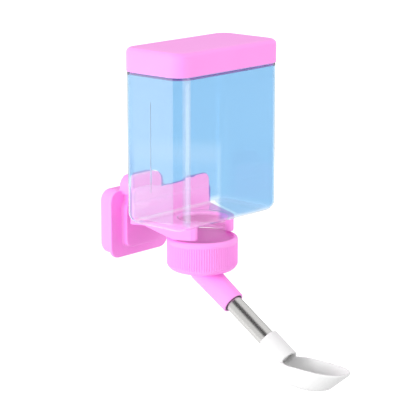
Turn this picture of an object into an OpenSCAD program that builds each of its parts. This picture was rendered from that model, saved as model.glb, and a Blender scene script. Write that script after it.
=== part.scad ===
// Clip-on bird cage waterer: a clear tank under a plug-in lid, a ribbed screw cap with an
// inclined spout, a steel tube with a ball valve, a drip spoon and a cage clamp bracket.
// Origin: middle of the bracket's clamping face. +Y points through the cage wall, away from
// the tank, +Z is up. The tank's own axis stands at y = -reach.

/* [Tank] */
// Width of the tank, side to side
tank_w = 86; // [70:1:100]
// Depth of the tank, front to back
tank_d = 45; // [42:0.5:60]
// Radius of the upright corners
tank_corner_r = 8.5; // [7:0.5:12]
// Radius along the bottom edge
tank_base_r = 6.5; // [4:0.5:7]
// Height of the tank body up to the shoulder under the lid
tank_h = 87.2; // [60:1:140]
// Wall of the tank
tank_wall = 1.6; // [1.2:0.1:2]
// Step inwards from the body to the mouth rim
rim_step = 2.3; // [2.2:0.1:3]
// Height of the mouth rim above the shoulder
rim_h = 9.6; // [8:0.2:12]
// Distance from the clamping face to the tank's axis
reach = 52.2; // [50:0.5:65]
// Height of the tank's underside above the clamp stud
seat_h = 10; // [9:0.5:14]

/* [Neck] */
// Outside diameter of the neck's waist, where the collar clips round it
neck_d = 28.4; // [26:0.2:30]
// Wall of the neck
neck_wall = 2.2; // [1.6:0.1:2.8]
// Depth of the neck's threaded shoulder below the cap's rim
thread_drop = 1; // [0.6:0.1:2]

/* [Lid] */
// Height of the lid
lid_h = 13.1; // [12:0.1:18]
// How far the lid stands out past the tank on each side
lid_over = 0.5; // [0:0.1:1.2]
// Radius along the lid's top edge
lid_edge_r = 3; // [1:0.25:4]
// Wall of the lid's skirt
lid_wall = 1.7; // [1.2:0.1:2]
// Thickness of the lid's top
lid_top = 2; // [1.5:0.1:3]
// Length of the plug inside the mouth
plug_l = 7.2; // [6:0.2:9]
// Wall of the plug
plug_wall = 1.9; // [1.8:0.1:3]
// Height of the silicone seal round the plug
lid_seal_h = 2.4; // [1.6:0.1:3]
// Depth of the seal's groove in the plug
lid_seal_t = 1; // [0.6:0.1:1.2]

/* [Cap] */
// Diameter of the cap's skirt
cap_d = 41.2; // [38:0.2:44]
// Gap between the tank's underside and the top of the skirt
cap_drop = 11.4; // [11:0.1:14]
// Height of the skirt
cap_h = 19.6; // [17:0.2:26]
// Wall of the skirt over its ribs
skirt_wall = 2.4; // [2.2:0.1:4]
// Radius of the skirt's top shoulder
cap_shoulder_r = 2; // [1:0.1:2]
// Radius round the bottom of the cap
cap_base_r = 4; // [2:0.25:4]
// Number of grip ribs
rib_count = 90; // [48:2:96]
// Width of one grip rib
rib_w = 0.8; // [0.7:0.1:1.1]
// Height of one grip rib
rib_h = 0.3; // [0.2:0.05:0.35]
// Length of the ribbed band
rib_l = 12.2; // [8:0.1:13]
// Thickness of the cap's floor
cap_floor = 5; // [3.5:0.1:6]
// Thickness of the sealing washer under the neck
washer_t = 2; // [1.5:0.1:2.5]
// Bore of the sealing washer
washer_bore = 26; // [22:0.5:29]

/* [Spout] */
// Slope of the spout below level
pitch = 32.7; // [20:0.1:40]
// Depth of the spout's elbow centre below the tank's underside
elbow_drop = 31.8; // [31:0.1:38]
// Length of the pink nozzle from the elbow centre
nozzle_l = 28.8; // [24:0.2:34]
// Diameter of the nozzle at the elbow
nozzle_root_d = 14.9; // [14:0.1:16]
// Diameter of the nozzle at its mouth
nozzle_tip_d = 13.7; // [13.4:0.1:14.5]
// Bore of the waterway from the cap to the tube
waterway_d = 6; // [4:0.5:7]
// Outside diameter of the steel tube
tube_d = 10; // [9:0.1:10]
// Wall of the steel tube
tube_wall = 0.6; // [0.4:0.05:0.8]
// Place of the tube's upper end along the spout
tube_from = 8; // [8:0.5:12]
// Place of the tube's lower end along the spout
tube_to = 74.4; // [70:0.2:90]
// Width of the lip rolled in at the tube's lower end
tube_lip = 1.4; // [1.2:0.05:1.8]
// Chamfer round the nozzle's mouth
nozzle_edge = 0.6; // [0.2:0.1:0.8]
// Length of the rubber bush in the nozzle's mouth
bush_l = 3.2; // [2:0.1:4]
// Wall of the rubber bush
bush_wall = 0.7; // [0.5:0.05:0.9]

/* [Spoon] */
// Length of the spoon's socket round the tube
socket_l = 17.8; // [14:0.2:22]
// Outside diameter of the socket
socket_d = 13.3; // [12.6:0.1:14.5]
// Socket reach past the end of the tube
socket_past = 2.6; // [2:0.1:4]
// Width of the bowl over its walls
bowl_w = 21; // [17:0.5:26]
// Length of the bowl from the socket's end to the tip
bowl_l = 42.5; // [36:0.1:50]
// Depth of the bowl outside
bowl_depth = 14; // [13:0.1:16]
// Wall of the bowl
bowl_wall = 1.2; // [1:0.1:1.5]

/* [Bracket] */
// Width of the saddle plate behind the tank
saddle_w = 65; // [55:0.5:68]
// Height of the saddle plate's ears above the tank's underside
saddle_h = 17.9; // [16:0.1:22]
// Width of each ear at its top
ear_w = 16.5; // [12:0.5:20]
// Depth of the dip between the ears
ear_h = 1.9; // [0.5:0.1:3]
// Depth of the saddle plate below the tank's underside
saddle_drop = 3; // [2.5:0.1:4]
// Thickness of the saddle's lower band
saddle_t = 3.2; // [2.6:0.1:4]
// Depth of the ledge that crosses the saddle
ledge_d = 0.9; // [0.4:0.1:1.2]
// Height of the ledge above the tank's underside
ledge_h = 9.4; // [7:0.1:11]
// Radius of the saddle's top corners
saddle_r = 5; // [3:0.25:7]
// Thickness of the shelf under the tank
shelf_t = 2.2; // [1.6:0.1:2.8]
// Wall of the shelf's side skirts and the collar
web_t = 1.9; // [1.5:0.1:2.2]
// Outside diameter of the collar
collar_d = 40.4; // [39.6:0.2:41]
// Height of the collar
collar_h = 9.6; // [9:0.1:10]
// Thickness of the collar's lower flange
flange_t = 1.8; // [1.2:0.1:2.4]
// Diameter of the round posts at the collar's ends
post_d = 5.1; // [4.6:0.1:5.4]
// Angle of the collar's open front, from post to post
open_angle = 132; // [110:1:140]
// Width of the arm from the saddle to the clamp
arm_w = 26; // [20:0.5:28]
// Height of the arm
arm_h = 9.5; // [8:0.5:10]

/* [Clamp] */
// Width of the front jaw
jaw_w = 48; // [42:0.2:50]
// Height of the front jaw
jaw_h = 40; // [36:0.5:44]
// Thickness of the front jaw
jaw_t = 2.2; // [2:0.1:3]
// Radius of the jaw's corners
jaw_r = 6; // [4:0.25:8]
// Width of the raised boss on the jaw
boss_w = 30; // [26:0.5:32]
// Height of the raised boss on the jaw
boss_h = 28; // [24:0.5:30]
// How far the boss stands forward of the jaw
boss_t = 4; // [3:0.25:5]
// Radius of the boss's corners
boss_r = 4.5; // [3:0.25:6]
// Width of the block above the jaw
block_w = 29.4; // [26:0.2:32]
// Height of the block's top above the clamp stud
block_top = 29; // [27:0.25:31]
// Depth of the block, front to back
block_d = 7.7; // [6:0.1:9]
// Radius of the block's top corners
block_r = 6.5; // [4:0.25:8]
// Diameter of the clamp stud
stud_d = 12; // [10:0.25:13]
// Length of the stud behind the jaw
stud_l = 9.6; // [8:0.1:10]
// Width and height of the rear nut
nut_w = 39; // [34:0.5:40]
// Thickness of the rear nut
nut_t = 12.4; // [11:0.1:13]
// Radius of the nut's corners
nut_r = 7; // [5:0.25:9]
// Radius round the nut's back edge
nut_edge_r = 3; // [1:0.2:3.4]
// Outside diameter of the grip pad in the nut's face
pad_d = 27; // [24:0.5:28]
// Thickness of the grip pad
pad_t = 1.5; // [1:0.1:2]

/* [Fits] */
// Gap between the tank and the saddle behind it
tank_gap = 0.5; // [0.3:0.05:0.8]
// Gap between the tank and the shelf under it
shelf_gap = 0.6; // [0.4:0.05:0.8]
// Radial gap of parts that turn or slide in each other
running_gap = 0.08; // [0.05:0.01:0.1]
// Radial gap of parts that are pushed together
push_gap = 0.04; // [0.02:0.01:0.06]
// Radial gap of the valve ball in the tube
ball_gap = 0.2; // [0.1:0.05:0.4]
// Gap between the tank's shoulder and the lid over it
lid_gap = 0.5; // [0.3:0.05:0.8]
// Gap between the lid's plug and the mouth round it
plug_gap = 0.5; // [0.3:0.05:0.6]
// Gap between faces that close on each other
face_gap = 0.3; // [0.2:0.05:0.5]
// Radial gap between the collar and the neck's waist
clip_gap = 0.3; // [0.2:0.05:0.4]

/* [Hidden] */
$fn = 96;
smooth_fn = 32;
rib_fn = 16;
eps = 0.02;
pink = "#f99be8";
clear_blue = [0.56, 0.78, 0.95, 0.45];
white = "#f6f6f6";
steel = "#b9bbbd";
rubber = "#3a3440";
silicone = "#e9eef2";

mouth_w = tank_w - 2 * rim_step;
mouth_d = tank_d - 2 * rim_step;
mouth_r = tank_corner_r - rim_step;
lid_z = tank_h + lid_gap;
lid_w = tank_w + 2 * lid_over;
lid_d = tank_d + 2 * lid_over;
lid_ceiling = lid_z + lid_h - lid_top;
plug_inset = rim_step + tank_wall + plug_gap;
plug_lip = 1.4;
plug_min_r = 0.8;
lid_seal_z = lid_ceiling - plug_l + plug_lip;

cap_r = cap_d / 2;
cap_base_z = -cap_drop - cap_h;
cap_bore = cap_d - 2 * skirt_wall;
washer_z = cap_base_z + cap_floor;
neck_l = -washer_z - washer_t - eps;
thread_d = cap_bore - 2 * running_gap;
thread_l = neck_l - cap_drop - thread_drop;

socket_to = tube_to + socket_past;
socket_from = socket_to - socket_l;
spoon_end_y = -socket_to * cos(pitch);
rim_rise = 1.1;
rim_z = -elbow_drop - socket_to * sin(pitch) + rim_rise;
rim_band = 1;
throat_l = 3;
throat_cut = 0.5;
bowl_back = 9;
belly_at = 25;
keel_at = 14;
keel_l = 17;
keel_r = 4;
ball_d = tube_d - 2 * (tube_wall + ball_gap);
ball_seat = sqrt(pow(ball_d / 2, 2) - pow(tube_d / 2 - tube_lip, 2));
ball_s = tube_to - tube_wall - ball_seat - push_gap;

saddle_y = tank_d / 2 + tank_gap;
shelf_z = -shelf_gap - shelf_t;
collar_r = collar_d / 2;
collar_bore = neck_d + 2 * clip_gap;
post_reach = collar_bore / 2 + post_d / 2;
post_angle = 90 - open_angle / 2;
ear_slope = 5.5;
skirt_front = 2;
skirt_back = 5;
arm_rise = 8;
arm_top = seat_h + arm_rise;

// Everything on the tank's axis, with z = 0 at the tank's underside
module at_tank() {
    translate([0, -reach, seat_h]) children();
}

// Everything on the clamp stud's axis, with local +z pointing through the cage wall
module at_stud() {
    rotate([-90, 0, 0]) children();
}

// Everything along the spout's axis, s millimetres down from the elbow
module along_spout(s) {
    at_tank() translate([0, 0, -elbow_drop]) rotate([90 + pitch, 0, 0]) translate([0, 0, s]) children();
}

module ring(outer_d, inner_d, h) {
    difference() {
        cylinder(d = outer_d, h = h);
        translate([0, 0, -eps]) cylinder(d = inner_d, h = h + 2 * eps);
    }
}

// A flat rounded rectangle built from true arcs
module rounded_outline(w, h, r) {
    square([w - 2 * r, h], center = true);
    square([w, h - 2 * r], center = true);
    for (sx = [-1, 1], sy = [-1, 1])
        translate([sx * (w / 2 - r), sy * (h / 2 - r)]) circle(r = r);
}

// An upright block with rounded corners and a rounded lower or upper edge
module soft_block(w, d, r, h, edge_r, top = false) {
    hull()
        for (sx = [-1, 1], sy = [-1, 1])
            translate([sx * (w / 2 - r), sy * (d / 2 - r), 0])
                soft_post(r, h, edge_r, top, $fn = smooth_fn);
}

module soft_post(r, h, edge_r, top) {
    translate([0, 0, top ? h : 0]) scale([1, 1, top ? -1 : 1])
        rotate_extrude() {
            square([r - edge_r, h]);
            translate([0, edge_r]) square([r, h - edge_r]);
            translate([r - edge_r, edge_r]) intersection() {
                circle(r = edge_r);
                translate([0, -edge_r]) square(edge_r);
            }
        }
}

// Clear tank: rounded box, open mouth rim above a shoulder, and below it a neck whose waist
// sits in the collar and whose wider threaded end sits in the cap
module bottle() {
    color(clear_blue) at_tank() difference() {
        union() {
            soft_block(tank_w, tank_d, tank_corner_r, tank_h, tank_base_r);
            translate([0, 0, tank_h - eps])
                linear_extrude(rim_h + eps) rounded_outline(mouth_w, mouth_d, mouth_r);
            translate([0, 0, -neck_l]) cylinder(d = neck_d, h = neck_l + tank_wall);
            translate([0, 0, -neck_l]) cylinder(d = thread_d, h = thread_l);
        }
        translate([0, 0, tank_wall])
            soft_block(tank_w - 2 * tank_wall, tank_d - 2 * tank_wall, tank_corner_r - tank_wall,
                       tank_h - 2 * tank_wall, tank_base_r - tank_wall);
        translate([0, 0, tank_h / 2]) linear_extrude(tank_h)
            rounded_outline(mouth_w - 2 * tank_wall, mouth_d - 2 * tank_wall, mouth_r - tank_wall);
        translate([0, 0, -neck_l - eps]) cylinder(d = neck_d - 2 * neck_wall, h = neck_l + 2 * tank_wall);
        translate([0, 0, -neck_l - eps])
            cylinder(d = thread_d - 2 * neck_wall, h = thread_l - neck_wall + eps);
    }
}

// Lid: skirt outside the rim, plug inside it, groove for the seal round the plug
module lid() {
    color(pink) at_tank() difference() {
        translate([0, 0, lid_z])
            soft_block(lid_w, lid_d, tank_corner_r + lid_over, lid_h, lid_edge_r, top = true);
        translate([0, 0, lid_z - eps]) linear_extrude(lid_h - lid_top + eps) difference() {
            rounded_outline(lid_w - 2 * lid_wall, lid_d - 2 * lid_wall,
                            tank_corner_r + lid_over - lid_wall);
            plug_outline(0);
        }
        translate([0, 0, lid_z - eps]) linear_extrude(lid_h - lid_top - plug_l + eps) plug_outline(0);
        translate([0, 0, lid_z]) linear_extrude(lid_h - lid_top) plug_outline(plug_wall);
        translate([0, 0, lid_seal_z - push_gap]) linear_extrude(lid_seal_h + 2 * push_gap)
            difference() {
                plug_outline(-eps);
                plug_outline(lid_seal_t);
            }
    }
}

module plug_outline(inset) {
    in = plug_inset + inset;
    rounded_outline(tank_w - 2 * in, tank_d - 2 * in, max(tank_corner_r - in, plug_min_r));
}

// Silicone seal seated in the plug's groove
module lid_seal() {
    color(silicone) at_tank() translate([0, 0, lid_seal_z]) linear_extrude(lid_seal_h) difference() {
        plug_outline(-plug_gap + running_gap);
        plug_outline(lid_seal_t - push_gap);
    }
}

// Screw cap: ribbed skirt round the neck's threaded end, floor, elbow and nozzle
module cap() {
    color(pink) difference() {
        union() {
            at_tank() translate([0, 0, cap_base_z]) cap_skirt();
            along_spout(0) nozzle();
        }
        at_tank() translate([0, 0, washer_z]) cylinder(d = cap_bore, h = cap_h);
        at_tank() translate([0, 0, -elbow_drop]) cylinder(d = waterway_d, h = elbow_drop);
        along_spout(0) sphere(d = waterway_d);
        along_spout(0) cylinder(d = waterway_d, h = tube_from + eps);
        along_spout(tube_from) cylinder(d = tube_d + 2 * push_gap, h = nozzle_l);
        along_spout(nozzle_l - bush_l)
            cylinder(d = tube_d + 2 * (bush_wall + 2 * push_gap), h = bush_l + eps);
    }
}

module cap_skirt() {
    rotate_extrude() {
        square([cap_r - cap_base_r, cap_h]);
        translate([0, cap_base_r]) square([cap_r - rib_h, cap_h - cap_base_r - cap_shoulder_r]);
        translate([0, cap_base_r]) square([cap_r - cap_shoulder_r, cap_h - cap_base_r]);
        translate([cap_r - cap_base_r, cap_base_r]) intersection() {
            circle(r = cap_base_r);
            translate([0, -cap_base_r]) square(cap_base_r);
        }
        translate([0, cap_base_r + rib_l])
            square([cap_r, cap_h - cap_shoulder_r - cap_base_r - rib_l]);
        translate([cap_r - cap_shoulder_r, cap_h - cap_shoulder_r]) intersection() {
            circle(r = cap_shoulder_r);
            square(cap_shoulder_r);
        }
    }
    translate([0, 0, cap_base_r]) linear_extrude(rib_l)
        for (i = [0:rib_count - 1])
            rotate(i * 360 / rib_count) translate([cap_r - rib_w / 2, 0]) circle(d = rib_w, $fn = rib_fn);
}

module nozzle() {
    sphere(d = nozzle_root_d);
    cylinder(d1 = nozzle_root_d, d2 = nozzle_tip_d, h = nozzle_l - nozzle_edge);
    translate([0, 0, nozzle_l - nozzle_edge])
        cylinder(d1 = nozzle_tip_d, d2 = nozzle_tip_d - 2 * nozzle_edge, h = nozzle_edge);
}

// Sealing washer between the neck's end and the cap's floor
module cap_washer() {
    color(silicone) at_tank() translate([0, 0, washer_z + eps / 2])
        ring(thread_d, washer_bore, washer_t);
}

// Rubber bush that holds the tube in the nozzle's mouth
module tube_bush() {
    color(rubber) along_spout(nozzle_l - bush_l + push_gap)
        ring(tube_d + 2 * (bush_wall + push_gap), tube_d + 2 * push_gap, bush_l - 2 * push_gap);
}

// Steel tube with its lower end rolled in to seat the ball
module tube() {
    color(steel) along_spout(0) difference() {
        union() {
            translate([0, 0, tube_from + push_gap])
                cylinder(d = tube_d, h = tube_to - tube_from - push_gap - tube_wall);
            translate([0, 0, tube_to - tube_wall])
                cylinder(d1 = tube_d, d2 = tube_d - 2 * tube_wall, h = tube_wall);
        }
        translate([0, 0, tube_from - eps])
            cylinder(d = tube_d - 2 * tube_wall, h = tube_to - tube_from - tube_wall);
        translate([0, 0, tube_from]) cylinder(d = tube_d - 2 * tube_lip, h = tube_to);
    }
}

// Valve ball resting on the tube's lip
module ball() {
    color(steel) along_spout(ball_s) sphere(d = ball_d);
}

// Drip spoon: socket round the tube, open scoop with a level rim
module spoon() {
    color(white) difference() {
        union() {
            along_spout(socket_from) cylinder(d = socket_d, h = socket_l);
            difference() {
                scoop(0);
                at_tank() translate([-bowl_w, spoon_end_y - 2 * bowl_l, rim_z])
                    cube([2 * bowl_w, 4 * bowl_l, 2 * bowl_w]);
            }
        }
        along_spout(socket_from - eps)
            cylinder(d = tube_d + 2 * running_gap, h = tube_to - socket_from + face_gap);
        along_spout(tube_to) cylinder(d = tube_d, h = socket_past + 2 * eps);
        scoop(bowl_wall);
    }
}

// The scoop's form: socket end, level rim and rounded keel drawn into one skin
module scoop(inset) {
    half = bowl_w / 2 - inset;
    inside = inset > 0;
    hull() {
        along_spout(socket_to - (inside ? throat_cut : throat_l))
            cylinder(d = inside ? tube_d : socket_d, h = throat_l, $fn = smooth_fn);
        at_tank() translate([0, 0, rim_z - rim_band]) linear_extrude(rim_band + (inside ? eps : 0)) {
            translate([0, spoon_end_y - bowl_back]) circle(r = half, $fn = smooth_fn);
            translate([0, spoon_end_y - belly_at]) scale([half, bowl_l - belly_at - inset])
                circle(r = 1, $fn = smooth_fn);
        }
        at_tank() translate([0, spoon_end_y - keel_at, rim_z - bowl_depth + keel_r])
            scale([half - rim_band, keel_l - inset, keel_r - inset]) sphere(r = 1, $fn = smooth_fn);
    }
}

// Bracket: saddle, shelf, C collar, arm, front jaw and stud, moulded in one
module bracket() {
    color(pink) union() {
        at_tank() saddle();
        at_tank() shelf();
        arm();
        jaw();
    }
}

module saddle() {
    h = saddle_h + saddle_drop;
    dip = saddle_w / 2 - ear_w;
    translate([0, saddle_y + saddle_t, -saddle_drop]) rotate([90, 0, 0]) {
        linear_extrude(saddle_t - ledge_d) difference() {
            top_rounded(saddle_w, h, saddle_r);
            polygon([[-dip, h + eps], [ear_slope - dip, h - ear_h], [dip - ear_slope, h - ear_h],
                     [dip, h + eps]]);
        }
        linear_extrude(saddle_t)
            translate([-saddle_w / 2, 0]) square([saddle_w, ledge_h + saddle_drop]);
    }
}

// A plate outline on y = 0 with only its two upper corners rounded
module top_rounded(w, h, r) {
    translate([-w / 2, 0]) square([w, h - r]);
    translate([r - w / 2, 0]) square([w - 2 * r, h]);
    for (s = [-1, 1]) translate([s * (w / 2 - r), h - r]) circle(r = r);
}

// Shelf under the tank, tapering from the saddle to the collar, with deepening skirts
module shelf() {
    difference() {
        union() {
            translate([0, 0, shelf_z]) linear_extrude(shelf_t) shelf_outline();
            difference() {
                translate([0, 0, -shelf_gap - collar_h]) linear_extrude(collar_h) difference() {
                    shelf_outline();
                    offset(delta = -web_t) shelf_outline();
                }
                skirt_cut();
            }
            translate([0, 0, -shelf_gap - collar_h]) cylinder(r = collar_r, h = collar_h);
            for (s = [-1, 1]) post(s);
        }
        translate([0, 0, -shelf_gap - collar_h - eps])
            cylinder(d = collar_bore, h = collar_h + 2 * eps);
        front_opening();
        collar_channel();
    }
}

module shelf_outline() {
    hull() {
        translate([0, saddle_y + saddle_t / 2]) square([saddle_w, saddle_t], center = true);
        circle(r = collar_r);
    }
}

// Takes the skirts' lower edge from the collar's foot up to the saddle's foot
module skirt_cut() {
    low = -shelf_gap - collar_h - eps;
    rotate([90, 0, 90]) translate([0, 0, -saddle_w]) linear_extrude(2 * saddle_w)
        polygon([[skirt_front, low], [saddle_y - skirt_back, -saddle_drop],
                 [saddle_y + 2 * saddle_t, -saddle_drop],
                 [saddle_y + 2 * saddle_t, low]]);
}

// The wedge that leaves the collar open at the front
module front_opening() {
    far = 2 * collar_d;
    translate([0, 0, -collar_d]) linear_extrude(2 * collar_d) difference() {
        polygon([[0, 0], [-far * cos(post_angle), -far * sin(post_angle)], [0, -2 * far],
                 [far * cos(post_angle), -far * sin(post_angle)]]);
        for (s = [-1, 1]) translate([s * post_reach * cos(post_angle), -post_reach * sin(post_angle)])
            circle(d = post_d);
    }
}

// The channel round the inside of the collar, between its two flanges
module collar_channel() {
    floor_z = -shelf_gap - collar_h + flange_t;
    translate([0, 0, floor_z]) difference() {
        ring(2 * (collar_r - web_t), collar_bore - 2 * eps, collar_h - flange_t - shelf_t);
        for (s = [-1, 1])
            translate([s * post_reach * cos(post_angle), -post_reach * sin(post_angle), -eps])
                cylinder(d = post_d, h = collar_h);
    }
}

module post(side) {
    translate([side * post_reach * cos(post_angle), -post_reach * sin(post_angle),
               -shelf_gap - collar_h])
        cylinder(d = post_d, h = collar_h);
}

// Arm from the saddle to the jaw: an upside-down channel with a middle rib
module arm() {
    from_y = saddle_y + saddle_t - eps - reach;
    arm_l = -jaw_t - from_y;
    translate([0, from_y, arm_top - arm_h]) difference() {
        translate([-arm_w / 2, 0, 0]) cube([arm_w, arm_l, arm_h]);
        for (s = [-1, 1]) translate([s * (arm_w / 4 - web_t / 4), arm_l / 2, (arm_h - web_t) / 2 - eps])
            cube([arm_w / 2 - 1.5 * web_t, arm_l + 2 * eps, arm_h - web_t], center = true);
    }
}

// Front jaw with its raised boss, the block above it and the stud behind it
module jaw() {
    rotate([90, 0, 0]) {
        linear_extrude(jaw_t) rounded_outline(jaw_w, jaw_h, jaw_r);
        linear_extrude(jaw_t + boss_t) rounded_outline(boss_w, boss_h, boss_r);
        linear_extrude(block_d) translate([0, arm_top - eps])
            top_rounded(block_w, block_top - arm_top + eps, block_r);
    }
    at_stud() translate([0, 0, -jaw_t]) cylinder(d = stud_d, h = jaw_t + stud_l);
}

// Rear nut that turns on the stud to close the jaw
module clamp_nut() {
    color(pink) at_stud() translate([0, 0, face_gap]) difference() {
        soft_block(nut_w, nut_w, nut_r, nut_t, nut_edge_r, top = true);
        translate([0, 0, -eps]) cylinder(d = stud_d + 2 * running_gap, h = stud_l + eps);
        translate([0, 0, -eps]) cylinder(d = pad_d + 2 * running_gap, h = pad_t + eps);
    }
}

// Rubber pad in the nut's face, which bears on the cage wires
module grip_pad() {
    color(rubber) at_stud() translate([0, 0, face_gap - eps])
        ring(pad_d, stud_d + 2 * running_gap, pad_t);
}

bottle();
lid();
lid_seal();
cap();
cap_washer();
tube_bush();
tube();
ball();
spoon();
bracket();
clamp_nut();
grip_pad();
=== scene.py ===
import math

import bmesh
import bpy
from mathutils import Matrix, Vector


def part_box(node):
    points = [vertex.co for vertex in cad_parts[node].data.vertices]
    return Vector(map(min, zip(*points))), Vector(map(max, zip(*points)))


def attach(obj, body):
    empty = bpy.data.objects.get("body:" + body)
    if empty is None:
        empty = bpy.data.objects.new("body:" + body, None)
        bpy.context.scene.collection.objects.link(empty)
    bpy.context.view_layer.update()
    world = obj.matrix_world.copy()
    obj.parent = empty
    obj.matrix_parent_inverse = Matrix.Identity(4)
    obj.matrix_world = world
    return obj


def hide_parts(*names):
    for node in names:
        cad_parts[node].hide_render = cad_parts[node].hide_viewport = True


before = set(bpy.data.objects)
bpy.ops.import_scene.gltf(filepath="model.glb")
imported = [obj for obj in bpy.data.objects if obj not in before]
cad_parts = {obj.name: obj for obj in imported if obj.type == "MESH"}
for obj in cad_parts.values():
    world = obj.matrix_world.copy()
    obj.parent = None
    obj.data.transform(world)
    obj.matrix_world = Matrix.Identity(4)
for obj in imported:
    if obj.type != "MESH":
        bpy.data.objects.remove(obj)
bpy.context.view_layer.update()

# ---------------------------------------------------------------- room and camera
# The waterer is shot as a catalogue picture: held clear of a white table in a white room.
# One softbox lights its left side, one hangs in front of it and a strip stands low in
# front. Two grey cards give the steel tube its dark stripes.


def linear(code):
    """An sRGB hex colour as the linear RGBA that Blender's sockets take."""
    parts = [int(code[i:i + 2], 16) / 255 for i in (1, 3, 5)]
    return [p / 12.92 if p <= 0.04045 else ((p + 0.055) / 1.055) ** 2.4 for p in parts] + [1]


def add(tree, kind, sockets=None, **settings):
    """Adds a node: settings are its own properties, sockets take a value or a link."""
    node = tree.nodes.new(kind)
    for name, value in settings.items():
        setattr(node, name, value)
    for name, value in (sockets or {}).items():
        if isinstance(value, bpy.types.NodeSocket):
            tree.links.new(value, node.inputs[name])
        else:
            node.inputs[name].default_value = value
    return node


def maths(tree, operation, *values):
    """The result of a Math node on numbers or links."""
    return add(tree, "ShaderNodeMath", dict(enumerate(values)), operation=operation).outputs[0]


def ramp(tree, value, start, end, low=0.0, high=1.0, kind="SMOOTHSTEP"):
    """Goes from low to high while value goes from start to end."""
    limits = {"From Min": start, "From Max": end, "To Min": low, "To Max": high}
    return add(tree, "ShaderNodeMapRange", {"Value": value, **limits}, interpolation_type=kind).outputs[0]


def seen_directly(tree):
    """1 for the camera and for what it sees through the tank, half for what is mirrored."""
    ray = add(tree, "ShaderNodeLightPath").outputs
    mirrored = maths(tree, "MULTIPLY", ray["Is Glossy Ray"], 0.5)
    direct = maths(tree, "MAXIMUM", ray["Is Camera Ray"], mirrored)
    return maths(tree, "MAXIMUM", direct, ray["Is Transmission Ray"])


def new_material(name):
    """A material with an empty node tree, and that tree."""
    material = bpy.data.materials.new(name)
    material.use_nodes = True
    material.node_tree.nodes.clear()
    return material, material.node_tree


def put(name, data):
    """A new object in the scene that shows the given mesh, lamp or camera."""
    item = bpy.data.objects.new(name, data)
    bpy.context.scene.collection.objects.link(item)
    return item


bpy.context.scene.view_settings.view_transform = "Standard"
world = bpy.data.worlds.new("white_room")
bpy.context.scene.world = world
world.use_nodes = True
room = world.node_tree
room.nodes.clear()
# As light the room is a little weaker than the white it shows
strength = ramp(room, seen_directly(room), 0.0, 1.0, 0.96, 1.0, kind="LINEAR")
light = add(room, "ShaderNodeBackground", {"Color": linear("#ffffff"), "Strength": strength})
add(room, "ShaderNodeOutputWorld", {"Surface": light.outputs[0]})

# The table glows where it is seen, so that it is white and still takes the shadow
table, tree = new_material("white_laminate")
glow = maths(tree, "MULTIPLY", seen_directly(tree), 0.62)
white = add(tree, "ShaderNodeEmission", {"Color": linear("#ffffff"), "Strength": glow})
board = add(tree, "ShaderNodeBsdfDiffuse", {"Color": linear("#d8d8d8")})
both = add(tree, "ShaderNodeAddShader", {0: white.outputs[0], 1: board.outputs[0]})
add(tree, "ShaderNodeOutputMaterial", {"Surface": both.outputs[0]})

TABLE_HALF, TABLE_TOP = 8, -0.3
floor_mesh = bpy.data.meshes.new("floor")
floor_mesh.from_pydata([(x * TABLE_HALF, y * TABLE_HALF, TABLE_TOP)
                        for x, y in ((-1, -1), (1, -1), (1, 1), (-1, 1))], [], [(0, 1, 2, 3)])
floor_mesh.materials.append(table)
floor = put("floor", floor_mesh)

TARGET = Vector((0, -0.03, 0.0))


def softbox(name, toward, distance, width, height, watts):
    """An area lamp that hangs in the direction toward from the waterer and faces it."""
    data = bpy.data.lights.new(name, "AREA")
    data.shape = "RECTANGLE"
    data.size, data.size_y = width, height
    data.energy = watts
    lamp = put(name, data)
    lamp.location = TARGET + Vector(toward).normalized() * distance
    lamp.rotation_euler = (TARGET - lamp.location).to_track_quat("-Z", "Y").to_euler()
    lamp.visible_camera = False
    return lamp


# This one only lights, so that neither the tube nor the tank mirrors it
side_lamp = softbox("softbox_left", (-0.95, 0.25, 0.12), 0.75, 0.4, 0.3, 4.0)
side_lamp.visible_glossy = side_lamp.visible_transmission = False
softbox("softbox_front", (0.3, -0.65, 0.7), 1.0, 0.5, 0.5, 0.9)
softbox("strip_low", (0.22, -0.95, -0.15), 1.0, 0.53, 0.3, 1.1)

# The cards are dark in the middle and fade to the room's white, and only mirrors see them
card_material, tree = new_material("grey_card")
place = add(tree, "ShaderNodeTexCoord").outputs["Object"]
outward = add(tree, "ShaderNodeVectorMath", {0: place}, operation="LENGTH").outputs["Value"]
shade = ramp(tree, outward, 0.16, 0.4, 0.06, 0.88)
card_surface = add(tree, "ShaderNodeEmission", {"Color": linear("#ffffff"), "Strength": shade})
add(tree, "ShaderNodeOutputMaterial", {"Surface": card_surface.outputs[0]})
CARD_HALF, CARD_DISTANCE = 0.4, 0.6
TUBE_MIDDLE = Vector((0, -0.09, -0.04))
card_mesh = bpy.data.meshes.new("card")
card_mesh.from_pydata([(x * CARD_HALF, y * CARD_HALF, 0) for x, y in ((-1, -1), (1, -1), (1, 1), (-1, 1))],
                      [], [(0, 1, 2, 3)])
card_mesh.materials.append(card_material)
for name, toward in (("card_above", (-0.52, -0.03, 0.84)), ("card_behind", (0.74, 0.67, -0.05))):
    card = put(name, card_mesh)
    way = Vector(toward).normalized()
    card.location = TUBE_MIDDLE + way * CARD_DISTANCE
    card.rotation_euler = (-way).to_track_quat("Z", "Y").to_euler()
    card.visible_camera = card.visible_diffuse = card.visible_transmission = card.visible_shadow = False

camera_data = bpy.data.cameras.new("camera")
camera_data.sensor_width = 36.0
camera_data.lens = 169.2
camera_data.shift_x, camera_data.shift_y = -0.00125, 0.00125
camera_data.clip_end = 50
camera = put("camera", camera_data)
away = Vector((-0.72456, -0.65217, 0.22291))
across = Vector((0.66900, -0.74326, 0.0))
upward = away.cross(across)
camera.matrix_world = Matrix((across, upward, away)).transposed().to_4x4()
camera.location = (-0.7847, -0.7571, 0.2605)
bpy.context.scene.camera = camera

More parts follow.
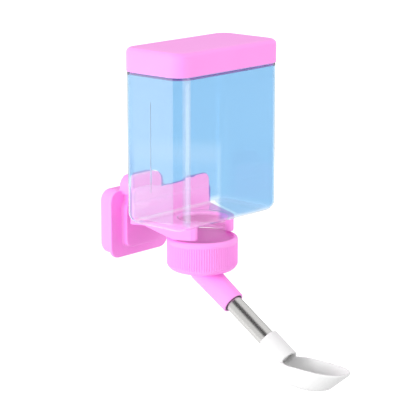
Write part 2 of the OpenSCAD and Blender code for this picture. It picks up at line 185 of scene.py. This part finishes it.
# ---------------------------------------------------------------- tank
# The tank is blown in clear blue polyester: a thin rounded box with a mouth rim on top
# and a threaded neck below, which sits in the bracket's collar. The mould's seam shows
# as a fine upright line down the middle of its left side.

# In mm: its plan, then the heights from the flat bottom, with the neck below that
WIDE, DEEP, CORNER = 86, 45, 8.5
SHOULDER, RIM, BOTTOM_CURVE = 87.3, 96.8, 6.5
WALL, FLOOR = 0.7, 0.3
NECK_TOP, NECK_END = -1.5, -23.98
NECK_WAIST, NECK_WIDE, NECK_BORE = 14.2, 18.1, 13.3
bottle_low, bottle_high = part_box("bottle")
TANK = Vector((0, (bottle_low.y + bottle_high.y) / 2, bottle_high.z - RIM / 1000))


def rounded_ring(width, depth, radius, height, steps=10):
    """Points in mm round a rounded rectangle about the tank's axis, at one height."""
    points = []
    for sx, sy, start in ((1, -1, -90), (1, 1, 0), (-1, 1, 90), (-1, -1, 180)):
        for i in range(steps + 1):
            turn = math.radians(start + 90 * i / steps)
            points.append(Vector((sx * (width / 2 - radius) + radius * math.cos(turn),
                                  sy * (depth / 2 - radius) + radius * math.sin(turn), height)))
    return points


def skin(name, rings, closed=False, place=None):
    """A piece drawn through rings of equally many points, given in mm about the tank."""
    mesh = bpy.data.meshes.new(name)
    bm = bmesh.new()
    place = place or (lambda p: TANK + p / 1000)
    loops = [[bm.verts.new(place(p)) for p in ring] for ring in rings]
    count = len(rings[0])
    pairs = list(zip(loops, loops[1:])) + ([(loops[-1], loops[0])] if closed else [])
    for lower, upper in pairs:
        for i in range(count):
            j = (i + 1) % count
            bm.faces.new((lower[i], lower[j], upper[j], upper[i]))
    if not closed:
        bm.faces.new(list(reversed(loops[0])))
        bm.faces.new(loops[-1])
    bmesh.ops.remove_doubles(bm, verts=bm.verts, dist=1e-6)
    bmesh.ops.recalc_face_normals(bm, faces=bm.faces)
    bm.to_mesh(mesh)
    bm.free()
    mesh.polygons.foreach_set("use_smooth", [True] * len(mesh.polygons))
    mesh.set_sharp_from_angle(angle=math.radians(40))
    return put(name, mesh)


def box_ring(inset, height):
    """The tank's plan at one height, drawn in by inset."""
    return rounded_ring(WIDE - 2 * inset, DEEP - 2 * inset, max(CORNER - inset, 0.6), height)


def neck_ring(radius, height):
    return rounded_ring(2 * radius, 2 * radius, radius, height)


def arc(start, end, steps=6):
    return [math.radians(start + (end - start) * i / steps) for i in range(steps + 1)]


# Outside, from the neck's end up to the mouth's rim
rings = [neck_ring(NECK_WIDE - 0.3, NECK_END), neck_ring(NECK_WIDE, NECK_END + 0.28)]
rings += [neck_ring(NECK_WIDE, -13)]
rings += [neck_ring(NECK_WIDE - 0.5 + 0.5 * math.cos(t), -12.9 + 0.5 * math.sin(t)) for t in arc(15, 90, 3)]
rings += [neck_ring(NECK_WAIST + 1 - math.sin(t), -11.4 - math.cos(t)) for t in arc(0, 90, 4)]
rings += [neck_ring(NECK_WAIST, NECK_TOP)]
rings += [neck_ring(NECK_WAIST + 1.5 - 1.5 * math.cos(t), NECK_TOP + 1.5 * math.sin(t)) for t in arc(15, 90)]
rings += [box_ring(BOTTOM_CURVE - BOTTOM_CURVE * math.sin(t), BOTTOM_CURVE - BOTTOM_CURVE * math.cos(t))
          for t in arc(0, 90, 12)]
rings += [box_ring(0, z) for z in (20, 40, 60, 80)]
rings += [box_ring(0.6 - 0.6 * math.cos(t), SHOULDER - 0.7 + 0.6 * math.sin(t)) for t in arc(0, 90)]
rings += [box_ring(2.3, SHOULDER)]
rings += [box_ring(2.7 - 0.4 * math.cos(t), RIM - 0.4 + 0.4 * math.sin(t)) for t in arc(0, 90, 3)]
# Inside, from the rim down to the neck's end
rings += [box_ring(3.2 + 0.4 * math.sin(t), RIM - 0.4 + 0.4 * math.cos(t)) for t in arc(0, 90, 3)]
rings += [box_ring(3.6, SHOULDER - 0.7)]
rings += [box_ring(WALL + 1.4 - 1.4 * math.cos(t), SHOULDER - 2.1 + 1.4 * math.sin(t)) for t in arc(90, 0)]
rings += [box_ring(WALL, z) for z in (60, 40, 20)]
rings += [box_ring(BOTTOM_CURVE - (BOTTOM_CURVE - WALL) * math.sin(t),
                   BOTTOM_CURVE - (BOTTOM_CURVE - FLOOR) * math.cos(t)) for t in arc(90, 0, 12)]
rings += [neck_ring(NECK_WAIST + 1.5 - (1.5 + FLOOR) * math.sin(t), NECK_TOP + (1.5 + FLOOR) * math.cos(t))
          for t in arc(0, 90, 8)]
rings += [neck_ring(NECK_BORE, -2.2), neck_ring(NECK_BORE, -12.2)]
rings += [neck_ring(NECK_WIDE - 2.4 + 1.5 * math.sin(t), -14.6 + 1.5 * math.cos(t)) for t in arc(0, 90, 4)]
rings += [neck_ring(NECK_WIDE - 0.9, NECK_END)]
tank = skin("tank_shell", rings, closed=True)


def vectors(tree, operation, *values):
    """The outputs of a Vector Math node on vectors or links."""
    return add(tree, "ShaderNodeVectorMath", dict(enumerate(values)), operation=operation).outputs


def blend(tree, factor, first, second):
    """The colour first where factor is 0 and second where it is 1."""
    return add(tree, "ShaderNodeMix", {0: factor, 6: first, 7: second}, data_type="RGBA").outputs[2]


def noise(tree, place, size_mm, detail=2.0):
    """Noise in patches about size_mm across."""
    sockets = {"Vector": place, "Scale": 1000 / size_mm, "Detail": detail}
    return add(tree, "ShaderNodeTexNoise", sockets).outputs[0]


def bump(tree, height, strength, depth_mm, **lower):
    """The normal of a surface raised by height, on top of a lower bump where one is given."""
    sockets = {"Height": height, "Strength": strength, "Distance": depth_mm / 1000, **lower}
    return add(tree, "ShaderNodeBump", sockets).outputs[0]


# Blown polyester is clear and glossy, so what it shows is its blue tint, which the walls
# share. The tint is left out of the back wall where the pink saddle with its two ears, the
# jaw's block and the shelf stand close behind it, because blue over pink turns grey. Each
# box holds a lowest and a highest corner and a corner radius, in mm about the tank.
SEEN_THROUGH = [((-36.2, 18, -9), (27.6, 30, 16.4), 2), ((14.3, 18, 0), (30.2, 30, 18.3), 5),
                ((10.5, 18, 0), (22, 30, 17.5), 1),
                ((-36.2, 18, -9), (-17.6, 30, 18.8), 5), ((-46, 18, 0), (-9.7, 30, 28), 8)]
# The camera's up and right in the room: the masks slant with the usual line of sight
SIGHT_UP, SIGHT_RIGHT = (0.166, 0.149, 0.975), (0.669, -0.743, 0)


def blown_polyester(name, transmission, near_clear, near_tint):
    """Clear polyester; below full transmission it is whitened into a painted sheen."""
    plastic, tree = new_material(name)
    place = add(tree, "ShaderNodeTexCoord").outputs["Object"]
    at = add(tree, "ShaderNodeSeparateXYZ", {0: place}).outputs
    from_tank = vectors(tree, "SUBTRACT", place, TANK)[0]
    from_axis = maths(tree, "ADD", at["Y"], -TANK.y)
    # 1 on the walls at the back and right, 0 on those at the front and left
    across_x = maths(tree, "MULTIPLY", at["X"], 1 / 0.0402)
    across_y = maths(tree, "MULTIPLY", from_axis, 1 / 0.0203)
    far_wall = ramp(tree, maths(tree, "ADD", across_x, across_y), -0.2, 0.05)
    back_corner = ramp(tree, from_axis, 0.012, 0.016, 0.0, 0.45, kind="LINEAR")
    tinted = maths(tree, "MAXIMUM", far_wall, back_corner)
    # Near and far walls share the tint, but where the pink parts lie behind them the near
    # walls are clear and the far ones take the whole tint
    upper = ramp(tree, vectors(tree, "DOT_PRODUCT", from_tank, SIGHT_UP)["Value"], 0.0275, 0.045)
    right = ramp(tree, vectors(tree, "DOT_PRODUCT", from_tank, SIGHT_RIGHT)["Value"], 0.0078, 0.0112)
    shared = maths(tree, "MAXIMUM", upper, right)
    near = blend(tree, shared, linear(near_clear), linear(near_tint))
    far = blend(tree, shared, linear("#7db3de"), linear("#b4d6ed"))
    walls = blend(tree, tinted, near, far)
    # The bottom is thinner and paler, and the curved edge round it blends into the walls
    height = ramp(tree, at["Z"], TANK.z + 0.0005, TANK.z + 0.0045)
    floor_tint = blend(tree, far_wall, linear("#fafcfe"), linear("#cfe3f5"))
    tint = blend(tree, height, floor_tint, walls)
    # The bottom is untinted over the shelf and the neck: a circle in front of the axis, and
    # two slanting lines behind it
    half_x = maths(tree, "ABSOLUTE", at["X"])
    slant = maths(tree, "SUBTRACT", maths(tree, "MULTIPLY", half_x, 0.912),
                  maths(tree, "MULTIPLY", from_axis, 0.411))
    flat = vectors(tree, "MULTIPLY", from_tank, (1, 1, 0))[0]
    radius = vectors(tree, "LENGTH", flat)["Value"]
    behind = maths(tree, "GREATER_THAN", from_axis, -0.0083)
    edge = add(tree, "ShaderNodeMix", {0: behind, 2: radius, 3: slant}).outputs[0]
    in_edge = maths(tree, "LESS_THAN", edge, 0.0212)
    under = maths(tree, "LESS_THAN", at["Z"], TANK.z + 0.0012)
    window = maths(tree, "MULTIPLY", in_edge, under)
    for low, high, corner_radius in SEEN_THROUGH:
        low, high, reach = Vector(low) / 1000, Vector(high) / 1000, corner_radius / 1000
        folded = vectors(tree, "ABSOLUTE", vectors(tree, "SUBTRACT", from_tank, (low + high) / 2)[0])[0]
        beyond = vectors(tree, "SUBTRACT", folded, (high - low) / 2 - Vector((reach, reach, reach)))[0]
        outside = vectors(tree, "LENGTH", vectors(tree, "MAXIMUM", beyond, (0, 0, 0))[0])["Value"]
        window = maths(tree, "MAXIMUM", window, maths(tree, "LESS_THAN", outside, reach))
    colour = blend(tree, window, tint, linear("#fefefe"))
    surface = bump(tree, noise(tree, place, 30, detail=1.0), 0.12, 1.0)
    # The mould's seam, 0.8 mm wide here so that it shows, between 21 and 72 mm up
    ridge = ramp(tree, maths(tree, "ABSOLUTE", from_axis), 0.0004, 0.0)
    from_ends = maths(tree, "COMPARE", at["Z"], TANK.z + 0.0465, 0.0255)
    at_left = maths(tree, "LESS_THAN", at["X"], 0.0)
    seam = maths(tree, "MULTIPLY", maths(tree, "MULTIPLY", ridge, from_ends), at_left)
    surface = bump(tree, seam, 0.5, 0.3, Normal=surface)
    body = add(tree, "ShaderNodeBsdfPrincipled",
               {"Base Color": colour, "Roughness": 0.03, "IOR": 1.45,
                "Transmission Weight": transmission, "Normal": surface})
    add(tree, "ShaderNodeOutputMaterial", {"Surface": body.outputs[0]})
    return plastic


tank.data.materials.append(blown_polyester("blown_clear_polyester", 1.0, "#fcfefe", "#b4d6ed"))
# The second material paints a whitish sheen and highlights onto the tank's glass
tank.data.materials.append(blown_polyester("blown_polyester_painted_sheen", 0.84, "#e9f3fb", "#d3e1f3"))
# The neck's wall is so thin and even that it bends nothing behind it
neck_plastic, tree = new_material("thin_clear_polyester")
place = add(tree, "ShaderNodeTexCoord").outputs["Object"]
surface = bump(tree, noise(tree, place, 10, detail=1.0), 0.1, 1.0)
thin = add(tree, "ShaderNodeBsdfPrincipled",
           {"Base Color": linear("#eef5fb"), "Roughness": 0.08, "IOR": 1.45, "Alpha": 0.05,
            "Normal": surface})
add(tree, "ShaderNodeOutputMaterial", {"Surface": thin.outputs[0]})
tank.data.materials.append(neck_plastic)
# A whitish painted sheen lightens the left side, and painted highlights lie on the nearest
# corner's strip beside the front and along the bottom edge
for face in tank.data.polygons:
    at = face.center - TANK
    left_side = at.x < -0.0427 and at.z > 0.001
    near_corner = -0.0395 < at.x < -0.0345 and at.y < -0.0209 and at.z > 0.001
    bottom_edge = 0.00035 < at.z < 0.0016 and at.xy.length > 0.0165
    if left_side or near_corner or bottom_edge:
        face.material_index = 1
    corners = [tank.data.vertices[i].co - TANK for i in face.vertices]
    if all(co.xy.length < 0.0185 and co.z < -0.0014 for co in corners):
        face.material_index = 2
tank.visible_shadow = tank.visible_diffuse = False
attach(tank, "holder")
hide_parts("bottle")

# ---------------------------------------------------------------- lid
# The lid is moulded in pink polypropylene: a shallow cap with a soft top edge outside
# the mouth, and a plug inside it that a silicone seal in a groove makes airtight.

# In mm: heights from the tank's flat bottom, then insets from the tank's plan
LID_TOP, LID_CEILING, LID_SKIRT, PLUG_END, GROOVE_LOW, GROOVE_HIGH = 100.8, 98.8, 87.3, 91.6, 92.9, 95.5
LID_OUTSIDE, LID_INSIDE, PLUG_OUTSIDE, PLUG_INSIDE, GROOVE = -0.5, 1.2, 4.4, 6.3, 5.4
# Down inside the plug, up outside it past the seal's groove, then down inside the skirt
rings = [box_ring(PLUG_INSIDE, LID_CEILING), box_ring(PLUG_INSIDE, PLUG_END + 0.4)]
rings += [box_ring(PLUG_INSIDE - 0.4, PLUG_END), box_ring(PLUG_OUTSIDE + 0.4, PLUG_END)]
rings += [box_ring(PLUG_OUTSIDE, PLUG_END + 0.4), box_ring(PLUG_OUTSIDE, GROOVE_LOW)]
rings += [box_ring(GROOVE, GROOVE_LOW + 0.05), box_ring(GROOVE, GROOVE_HIGH - 0.05)]
rings += [box_ring(PLUG_OUTSIDE, GROOVE_HIGH), box_ring(PLUG_OUTSIDE, LID_CEILING)]
rings += [box_ring(LID_INSIDE, LID_CEILING), box_ring(LID_INSIDE, LID_SKIRT + 0.3)]
# Round the skirt's lower edge, up outside it and over the soft top edge
rings += [box_ring(LID_INSIDE - 0.3, LID_SKIRT), box_ring(LID_OUTSIDE + 0.4, LID_SKIRT)]
rings += [box_ring(LID_OUTSIDE, LID_SKIRT + 0.4), box_ring(LID_OUTSIDE, 93)]
rings += [box_ring(LID_OUTSIDE + 3 - 3 * math.cos(t), LID_TOP - 3 + 3 * math.sin(t)) for t in arc(0, 90, 10)]
rings += [box_ring(6, LID_TOP)]
lid = skin("lid_moulding", rings)


def moulded_plastic(name, shade, light_shade, roughness, grain_mm):
    """Injection-moulded plastic: an even colour that clouds slightly over centimetres,
    a soft gloss and the faint spark-eroded grain of the mould."""
    plastic, tree = new_material(name)
    place = add(tree, "ShaderNodeTexCoord").outputs["Object"]
    cloud = noise(tree, place, 25)
    colour = blend(tree, cloud, linear(shade), linear(light_shade))
    grain = bump(tree, noise(tree, place, grain_mm), 0.1, 0.2)
    sink = bump(tree, cloud, 0.1, 1.0, Normal=grain)
    body = add(tree, "ShaderNodeBsdfPrincipled",
               {"Base Color": colour, "Roughness": roughness, "IOR": 1.49, "Normal": sink})
    add(tree, "ShaderNodeOutputMaterial", {"Surface": body.outputs[0]})
    return plastic


pink_plastic = moulded_plastic("moulded_pink_polypropylene", "#fc97ea", "#fd9dee", 0.4, 0.6)
lid.data.materials.append(pink_plastic)
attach(lid, "lid")
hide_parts("lid")

silicone = moulded_plastic("moulded_silicone", "#e3e8ea", "#edf0f2", 0.55, 0.4)


def dress(node, material):
    """Gives a CAD node its material."""
    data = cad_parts[node].data
    data.materials.clear()
    data.materials.append(material)


dress("lid_seal", silicone)

# ---------------------------------------------------------------- screw cap and nozzle
# The screw cap is one pink moulding: a ribbed skirt that screws onto the neck's wide
# end below the bracket's collar, and an elbow below it that ends in the nozzle. A
# silicone washer seals the neck, and a rubber bush holds the steel tube.

# Grip ribs and the points drawn for each, then radii and heights in mm
RIBS, PER_RIB, RIB_HEIGHT, RIB_TOP, RIB_END = 90, 6, 0.45, -15.2, -27.6
CAP_RADIUS, CAP_BAND, CAP_BORE, CAP_TOP, CAP_FLOOR, CAP_BOTTOM = 20.15, 20.6, 18.2, -11.4, -26, -31


def turned_ring(radius, height, rib=0.0):
    """A ring about the tank's axis, whose rim stands out by rib at each grip rib."""
    points = []
    for i in range(RIBS * PER_RIB):
        turn = 2 * math.pi * i / (RIBS * PER_RIB)
        swell = max(0.0, math.cos(RIBS * turn)) ** 0.7 * rib
        points.append(Vector(((radius + swell) * math.cos(turn), (radius + swell) * math.sin(turn), height)))
    return points


# Up the bore, over the rounded rim, down the ribs and under the rounded bottom edge
rings = [turned_ring(9, CAP_FLOOR), turned_ring(CAP_BORE, CAP_FLOOR), turned_ring(CAP_BORE, CAP_TOP - 1)]
rings += [turned_ring(CAP_BORE + 0.8 - 0.8 * math.cos(t), CAP_TOP - 0.8 + 0.8 * math.sin(t))
          for t in arc(0, 90, 4)]
rings += [turned_ring(CAP_BAND - 1.8 + 1.8 * math.sin(t), CAP_TOP - 1.8 + 1.8 * math.cos(t))
          for t in arc(10, 90, 6)]
rings += [turned_ring(CAP_BAND, RIB_TOP + 0.7), turned_ring(CAP_BAND - 0.3, RIB_TOP + 0.3, 0.2)]
rings += [turned_ring(CAP_RADIUS, RIB_TOP, RIB_HEIGHT), turned_ring(CAP_RADIUS, RIB_END, RIB_HEIGHT)]
rings += [turned_ring(16.2 + 4 * math.cos(t), CAP_BOTTOM + 4 - 4 * math.sin(t),
                      0.4 * max(0, 1 - math.degrees(t) / 40)) for t in arc(10, 90, 10)]
rings += [turned_ring(8, CAP_BOTTOM)]
cap = skin("cap_moulding", rings)
cap.data.materials.append(pink_plastic)
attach(cap, "spout")
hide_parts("cap")

# The spout leaves the elbow on a slant: its pitch, its two directions and its sizes in mm
PITCH = math.radians(32.7)
ELBOW = TANK + Vector((0, 0, -0.0318))
SPOUT_WAY = Vector((0, -math.cos(PITCH), -math.sin(PITCH)))
SPOUT_UP = Vector((0, -math.sin(PITCH), math.cos(PITCH)))
ELBOW_RADIUS, NOZZLE_LENGTH, NOZZLE_BORE, BUSH_RADIUS, BUSH_SEAT = 7.45, 28.8, 5.04, 5.78, 25.6


def along_spout(p):
    """A point in mm, with z measured down the spout from its elbow."""
    return ELBOW + (Vector((1, 0, 0)) * p.x + SPOUT_UP * p.y + SPOUT_WAY * p.z) / 1000


def spout_ring(radius, s, count=64):
    turns = [2 * math.pi * i / count for i in range(count)]
    return [Vector((radius * math.cos(turn), radius * math.sin(turn), s)) for turn in turns]


# A ball for the elbow, the taper, the rounded mouth, the bush's seat and the bore
rings = [spout_ring(ELBOW_RADIUS * math.cos(t), -ELBOW_RADIUS * math.sin(t)) for t in arc(88, 0, 12)]
rings += [spout_ring(ELBOW_RADIUS - 0.6 * s / 28.2, s) for s in (7, 14, 21, 28.2)]
rings += [spout_ring(6.35 + 0.5 * math.cos(t), NOZZLE_LENGTH - 0.5 + 0.5 * math.sin(t))
          for t in arc(10, 90, 5)]
rings += [spout_ring(5.9, NOZZLE_LENGTH), spout_ring(BUSH_RADIUS, NOZZLE_LENGTH - 0.15)]
rings += [spout_ring(BUSH_RADIUS, BUSH_SEAT), spout_ring(NOZZLE_BORE, BUSH_SEAT)]
rings += [spout_ring(NOZZLE_BORE, 8), spout_ring(3, 8), spout_ring(3, 2)]
nozzle = skin("nozzle_moulding", rings, place=along_spout)
nozzle.data.materials.append(pink_plastic)
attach(nozzle, "spout")
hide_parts("cap")

dress("cap_washer", silicone)
rubber = moulded_plastic("moulded_black_rubber", "#2b2532", "#332c3b", 0.6, 0.3)
dress("tube_bush", rubber)

# ---------------------------------------------------------------- tube and valve ball
# The tube is drawn stainless steel, held in the bush, with its end rolled in to keep the
# steel valve ball. Polishing left very fine rings round it, which widen its reflections.
steel, tree = new_material("polished_stainless_steel")
place = add(tree, "ShaderNodeTexCoord").outputs["Object"]
down_tube = vectors(tree, "DOT_PRODUCT", place, SPOUT_WAY)["Value"]
# 0.5 mm is far coarser than real polishing marks, so that they show at all
marks = add(tree, "ShaderNodeTexNoise", {"W": down_tube, "Scale": 1000 / 0.5, "Detail": 2.0},
            noise_dimensions="1D").outputs[0]
rough = ramp(tree, marks, 0.0, 1.0, 0.24, 0.32, kind="LINEAR")
polish = bump(tree, marks, 0.04, 0.1)
metal = add(tree, "ShaderNodeBsdfPrincipled",
            {"Base Color": linear("#d0cfcd"), "Metallic": 1.0, "Roughness": rough, "Normal": polish})
add(tree, "ShaderNodeOutputMaterial", {"Surface": metal.outputs[0]})
dress("tube", steel)
dress("ball", steel)

# ---------------------------------------------------------------- spoon
# The drip spoon is moulded in white polypropylene: a socket pushed over the tube's end
# that opens into a deep scoop with a level rim, so a drop stays there for the bird.


def softened(node, name, voxel_mm, rounds):
    """The CAD node's form with the soft edges of a moulding, as a piece of its own."""
    piece = put(name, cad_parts[node].data.copy())
    remesh = piece.modifiers.new("even_skin", "REMESH")
    remesh.mode = "VOXEL"
    remesh.voxel_size = voxel_mm / 1000
    remesh.use_smooth_shade = True
    soft = piece.modifiers.new("soft_edges", "SMOOTH")
    soft.factor, soft.iterations = 0.5, rounds
    ready = bpy.data.meshes.new_from_object(piece.evaluated_get(bpy.context.evaluated_depsgraph_get()))
    piece.modifiers.clear()
    piece.data = ready
    ready.materials.clear()
    return piece


spoon = softened("spoon", "spoon_moulding", 0.35, 6)
white_plastic = moulded_plastic("moulded_white_polypropylene", "#dcdcdc", "#e0e0e0", 0.45, 0.6)
spoon.data.materials.append(white_plastic)
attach(spoon, "spoon")
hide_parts("spoon")

# ---------------------------------------------------------------- bracket
# The bracket is one pink moulding: a saddle behind the tank, a shelf with an open
# collar that clips round the tank's neck, an arm, the front jaw and a threaded stud.
bracket = softened("bracket", "bracket_moulding", 0.5, 4)
bracket.data.materials.append(pink_plastic)
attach(bracket, "holder")
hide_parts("bracket")

# ---------------------------------------------------------------- clamp nut
# The nut is a rounded square pink moulding that screws onto the bracket's stud behind
# the cage wires, with a rubber pad in its face that keeps it from slipping.
nut = softened("clamp_nut", "nut_moulding", 0.5, 4)
nut.data.materials.append(pink_plastic)
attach(nut, "nut")
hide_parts("clamp_nut")
dress("grip_pad", rubber)
